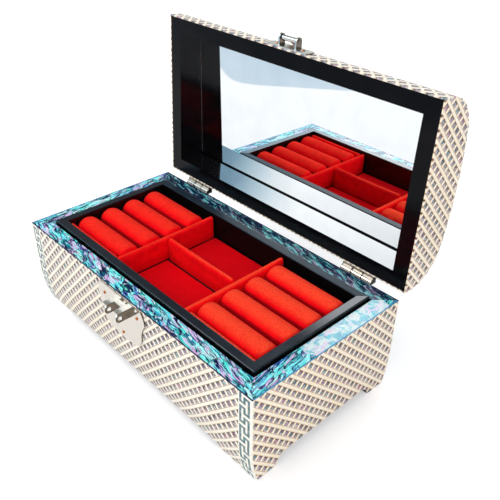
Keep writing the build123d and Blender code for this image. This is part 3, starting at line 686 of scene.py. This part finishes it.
def velvet():
    """Red pile, with painted shade low in the wells and in the grooves between rolls, and a painted orange
    highlight where a crest faces up, stronger towards the right.
    """
    g = Graph("red_velvet")
    x, _, z = g.split(g.coords)
    faces = g.split(g.normals)
    pile = g.noise(g.coords, 2600, detail=4, roughness=0.7)
    nap = g.noise(g.coords, 160, detail=3, roughness=0.55, distortion=0.6)
    base = g.stain(CRIMSON, SCARLET, nap, 0.40, 0.62)

    # Painted highlight: crests that face up turn orange, more so towards the right, in patches
    lit_top = g.product(g.step(faces["Z"], 0.55, 1.0), g.step(z, *CREST))
    lit_right = g.step(x, -HIGHLIGHT_SPREAD_HALF, HIGHLIGHT_SPREAD_HALF, 0.35, 0.85)
    brushed = g.step(g.noise(g.coords, 1100, detail=3, roughness=0.6), 0.34, 0.66, 0.35, 1.1)
    base = g.mix(g.product(lit_top, g.product(lit_right, brushed)), base, CREST_HIGHLIGHT)

    # Painted shade: darker low in the wells, and down the rolls' flanks in the grooves between them
    base = g.stain(base, WELL_SHADE, z, *WELL, most=0.7)
    on_rolls = g.math("GREATER_THAN", g.absolute(x), ROLLS_BEYOND)
    flank = g.step(g.absolute(faces["Y"]), 0.35, 0.80)
    groove = g.product(flank, g.step(z, *GROOVE, end=0.8), on_rolls)
    base = g.mix(groove, base, GROOVE_SHADE)
    base = g.stain(base, PILE_RED, pile, 0.42, 0.66, most=0.40)
    return g.surface(Base_Color=base, Roughness=0.9, Sheen_Weight=0.12, Sheen_Roughness=0.4,
                     Sheen_Tint=SHEEN, Specular_IOR_Level=0.1, Normal=g.bump(pile, 0.08 * MM, 0.5))


red = velvet()

# The cloth that swells each velvet piece
PRESSURE = 4.0
STIFFNESS = 15
CLOTH_FRAMES = 20


def mesh_object(name, mesh, material):
    made = bpy.data.objects.new(name, mesh)
    scene.collection.objects.link(made)
    mesh.materials.clear()
    mesh.materials.append(material)
    return made


def apply_modifiers(obj):
    """The object's mesh with its modifiers applied, in place."""
    graph = bpy.context.evaluated_depsgraph_get()
    made = bpy.data.meshes.new_from_object(obj.evaluated_get(graph))
    old = obj.data
    obj.modifiers.clear()
    obj.data = made
    bpy.data.meshes.remove(old)


def shrunk(node, shrink):
    """A copy of a node's mesh, drawn in by that many millimetres on each side."""
    low, high = (Vector(corner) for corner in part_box(node))
    middle = (low + high) / 2
    size = high - low
    mesh = nodes[node].data.copy()
    for vertex in mesh.vertices:
        offset = vertex.co - middle
        vertex.co = middle + Vector(o * (1 - 2 * s * MM / d) for o, s, d in zip(offset, shrink, size))
    return mesh


def remesh(made, voxel):
    """Even, soft-edged faces, ready for the cloth."""
    blocks = made.modifiers.new("remesh", "REMESH")
    blocks.mode = "VOXEL"
    blocks.voxel_size = voxel * MM
    apply_modifiers(made)
    smooth = made.modifiers.new("smooth", "SMOOTH")
    smooth.factor = 0.5
    smooth.iterations = 4
    apply_modifiers(made)


def clamped(value, low, high):
    return max(low, min(high, value))


def swell(made, cap):
    """The mesh under cloth pressure. No vertex moves further than the cap, in millimetres."""
    rest = [vertex.co.copy() for vertex in made.data.vertices]
    cloth = made.modifiers.new("cloth", "CLOTH")
    settings = cloth.settings
    settings.quality = 5
    settings.use_pressure = True
    settings.uniform_pressure_force = PRESSURE
    settings.effector_weights.gravity = 0
    settings.tension_stiffness = settings.compression_stiffness = STIFFNESS
    cloth.point_cache.frame_start = 1
    cloth.point_cache.frame_end = CLOTH_FRAMES
    for step in range(1, CLOTH_FRAMES + 1):
        scene.frame_set(step)
    apply_modifiers(made)
    scene.frame_set(1)
    for vertex, start in zip(made.data.vertices, rest):
        move = vertex.co - start
        vertex.co = start + Vector(clamped(m, -c * MM, c * MM) for m, c in zip(move, cap))


def plump(node, body, voxel, shrink, cap, fill):
    """A padded piece made from a CAD soft solid: remeshed, swollen by cloth pressure, and smoothed."""
    made = mesh_object(node + "_velvet", shrunk(node, shrink), red)
    remesh(made, voxel)
    swell(made, cap)
    low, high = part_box(node)
    for vertex in made.data.vertices:
        vertex.co = [clamped(v, least, most) for v, least, most in zip(vertex.co, low, high)]
    finer = made.modifiers.new("finer", "SUBSURF")
    finer.levels = finer.render_levels = 1
    apply_modifiers(made)
    made.data.polygons.foreach_set("use_smooth", [True] * len(made.data.polygons))
    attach(made, body)
    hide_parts(node)


# How each kind of piece is made: the voxels, the shrinking and the cap are in millimetres
ROLL = dict(voxel=1.6, shrink=(0.4, 0.3, 0.3), cap=(0.5, 0.3, 0.4), fill=0.95)
BED = dict(voxel=1.3, shrink=(0.1, 0.1, 0.1), cap=(0.1, 0.2, 0.3), fill=0.8)
CROSS_DIVIDER = dict(voxel=1.3, shrink=(0.2, 0.1, 0.2), cap=(0.3, 0.1, 0.3), fill=0.9)
CENTRE_DIVIDER = dict(voxel=1.3, shrink=(0.1, 0.2, 0.2), cap=(0.1, 0.3, 0.3), fill=0.9)
PAD = dict(voxel=1.0, shrink=(0.1, 0.1, 0.0), cap=(0.1, 0.1, 0.4), fill=0.7)
LINING = dict(voxel=1.6, shrink=(0.1, 0.1, 0.0), cap=(0.1, 0.1, 0.4), fill=0.6)

for side in ("left", "right"):
    for number in range(1, 5):
        plump(f"{side}_ring_roll_{number}", "tray", **ROLL)
    plump(f"{side}_roll_bed", "tray", **BED)
    plump(f"{side}_divider", "tray", **CROSS_DIVIDER)
plump("centre_divider", "tray", **CENTRE_DIVIDER)
for place in ("front", "back"):
    plump(f"{place}_well_pad", "tray", **PAD)
plump("storage_lining", "body", **LINING)


# Floor
FLOOR_HALF = 6

# The blue backdrop's two edges on the floor: a place on each, and the way into it
BACKDROP_EDGES = (
    ((-0.453, -0.255), (-0.674, -0.738)),
    ((-0.478, -0.255), (0.455, -0.890)),
)
BACKDROP_CORNER = 0.06

# How bright the floor looks to the camera by itself: less near the chest, where its shadow shows
GLOW_NEAR, GLOW_FAR = 0.29, 1.0
GLOW_FROM, GLOW_TO = 0.5, 1.4
GLOSSY_GLOW = 0.3


def backdrop(g, x, y):
    """How far inside the blue backdrop a place on the floor lies, in metres. It is negative outside."""
    inward = []
    for (edge_x, edge_y), (way_x, way_y) in BACKDROP_EDGES:
        sideways = g.product(g.math("SUBTRACT", x, edge_x), way_x)
        backward = g.product(g.math("SUBTRACT", y, edge_y), way_y)
        inward.append(g.math("ADD", sideways, backward))
    return g.math("SMOOTH_MIN", *inward, BACKDROP_CORNER)


def floor():
    """A white floor. In polished things it shows the edge of a pale blue backdrop at its left."""
    mesh = bpy.data.meshes.new("floor")
    corners = [(x * FLOOR_HALF, y * FLOOR_HALF, 0) for x, y in ((-1, -1), (1, -1), (1, 1), (-1, 1))]
    mesh.from_pydata(corners, [], [(0, 1, 2, 3)])
    g = Graph("floor")
    x, y, _ = g.split(g.coords)
    path = g.light_path()
    inward = backdrop(g, x, y)
    patch = g.product(g.step(inward, -0.002, 0.006), path["Is Glossy Ray"])
    far = g.step(inward, 0.0, 0.25)
    tone = g.mix(g.noise(g.coords, 3, detail=3), srgb(240, 240, 242), srgb(236, 237, 240))
    tone = g.mix(patch, tone, g.mix(far, srgb(190, 202, 212), srgb(160, 178, 194)))
    plain = g.step(g.vector("LENGTH", g.coords), GLOW_FROM, GLOW_TO, GLOW_NEAR, GLOW_FAR)
    seen = g.mix(patch, plain, g.mix(far, srgb(128, 148, 162), srgb(96, 120, 140)))
    glow = g.math("MAXIMUM", path["Is Camera Ray"], g.product(path["Is Glossy Ray"], GLOSSY_GLOW))
    g.surface(Base_Color=tone, Roughness=0.9, Specular_IOR_Level=0.1,
              Emission_Color=seen, Emission_Strength=glow)
    made = mesh_object("floor", mesh, g.owner)


floor()


# Lamps
CHEST_MIDDLE = Vector((0, 0, 0.08))
WARM = (1.0, 0.99, 0.97)
COOL = (0.74, 0.92, 1.0)


def towards(azimuth, elevation):
    """The way from the chest to that azimuth (0 is the front, 90 the right) and elevation, in degrees."""
    az, el = radians(azimuth), radians(elevation)
    return Vector((sin(az) * cos(el), -cos(az) * cos(el), sin(el)))


def lamp(name, azimuth, elevation, distance, width, height, radiance, colour=(1, 1, 1), glossy=False):
    """A softbox that faces the chest. Its size and distance are in metres."""
    away = towards(azimuth, elevation)
    data = bpy.data.lights.new(name, "AREA")
    data.shape = "RECTANGLE"
    data.size = width
    data.size_y = height
    data.energy = radiance * pi * width * height
    data.color = colour
    made = bpy.data.objects.new(name, data)
    scene.collection.objects.link(made)
    made.location = CHEST_MIDDLE + away * distance
    made.rotation_euler = away.to_track_quat("Z", "Y").to_euler()
    made.visible_camera = False
    made.visible_glossy = glossy


lamp("key", azimuth=-39, elevation=34, distance=1.6, width=0.92, height=0.74, radiance=4.2, colour=WARM)
lamp("fill", azimuth=60, elevation=35, distance=2.2, width=1.7, height=1.5, radiance=2.6, colour=WARM)
lamp("top", azimuth=0, elevation=88, distance=1.8, width=1.1, height=1.1, radiance=1.9)
lamp("rear", azimuth=-157, elevation=41, distance=1.8, width=0.78, height=0.66, radiance=3.1,
     colour=COOL, glossy=True)


# Studio: an even light, and the room that polished things show
SKY_PLAIN = 0.45
SKY_LOW, SKY_HIGH = 1.0, 0.20
SOFTBOX = 6.6
SOFTBOX_TONES = [
    (0.00, (0.14, 0.24, 0.32)), (0.10, (0.19, 0.30, 0.39)), (0.20, (0.33, 0.46, 0.54)),
    (0.30, (0.48, 0.60, 0.67)), (0.38, (0.62, 0.72, 0.79)), (0.52, (0.88, 0.92, 0.95)),
    (0.68, (1.06, 1.07, 1.09)), (1.00, (1.08, 1.10, 1.13)),
]

# The softbox's sides in degrees, and how its colour leans across it
BOX_AZIMUTHS = (-64, -20)
BOX_ELEVATIONS = (12, 52)
BOX_SOFTNESS = 4
BOX_LEVEL = 28.0
BOX_LEAN = 0.95
BLUE_FROM, BLUE_TO = -51.5, -36.5


def inside_box(g, angle, sides):
    """1 between the two sides of the softbox, and 0 beyond them."""
    low, high = sides
    return g.product(g.step(angle, low, low + BOX_SOFTNESS), g.step(angle, high, high - BOX_SOFTNESS))


def studio():
    """Even light on everything. Polished things see a room that is white low down and dim
    overhead, with a softbox at the front left that is bluer and dimmer down its left side."""
    g = Graph("studio", "World")
    scene.world = g.owner
    path = g.light_path()
    x, y, z = g.split(g.places["Generated"])
    azimuth = g.math("DEGREES", g.math("ARCTAN2", x, g.product(y, -1.0)))
    elevation = g.math("DEGREES", g.math("ARCSINE", z))
    room = g.step(z, 0.08, 0.45, SKY_LOW, SKY_HIGH)
    aslant = g.math("MULTIPLY_ADD", g.math("SUBTRACT", elevation, BOX_LEVEL), BOX_LEAN, azimuth)
    tone = g.ramp(g.step(aslant, BLUE_FROM, BLUE_TO, smooth=False), SOFTBOX_TONES)
    box = g.product(inside_box(g, azimuth, BOX_AZIMUTHS), inside_box(g, elevation, BOX_ELEVATIONS))
    shown = g.mix(box, room, g.vector("MULTIPLY", tone, SOFTBOX))
    colour = g.mix(path["Is Glossy Ray"], SKY_PLAIN, shown)
    white = g.math("MAXIMUM", path["Is Camera Ray"], path["Is Transmission Ray"])
    shader = g.named("Background", Color=g.mix(white, colour, 1.0))
    g.tree.links.new(shader.outputs[0], g.output.inputs[0])


studio()


# Camera, fitted to the photograph from the chest's corners and edges
CAMERA_PLACE = Vector((0.312088, -0.242205, 0.340585))
CAMERA_AZIMUTH = 46.79980
CAMERA_ELEVATION = 33.40295
CAMERA_ROLL = radians(0.68073)
LENS = 46.266
SENSOR = 36


def add_camera():
    data = bpy.data.cameras.new("camera")
    data.lens = LENS
    data.sensor_width = SENSOR
    data.clip_start = 0.01
    made = bpy.data.objects.new("camera", data)
    scene.collection.objects.link(made)
    back = towards(CAMERA_AZIMUTH, CAMERA_ELEVATION)
    right = towards(CAMERA_AZIMUTH + 90, 0)
    up = back.cross(right)
    axis_x = right * cos(CAMERA_ROLL) + up * sin(CAMERA_ROLL)
    axis_y = up * cos(CAMERA_ROLL) - right * sin(CAMERA_ROLL)
    facing = Matrix((axis_x, axis_y, back)).transposed().to_4x4()
    made.matrix_world = Matrix.Translation(CAMERA_PLACE) @ facing
    scene.camera = made


add_camera()
scene.view_settings.view_transform = "Standard"
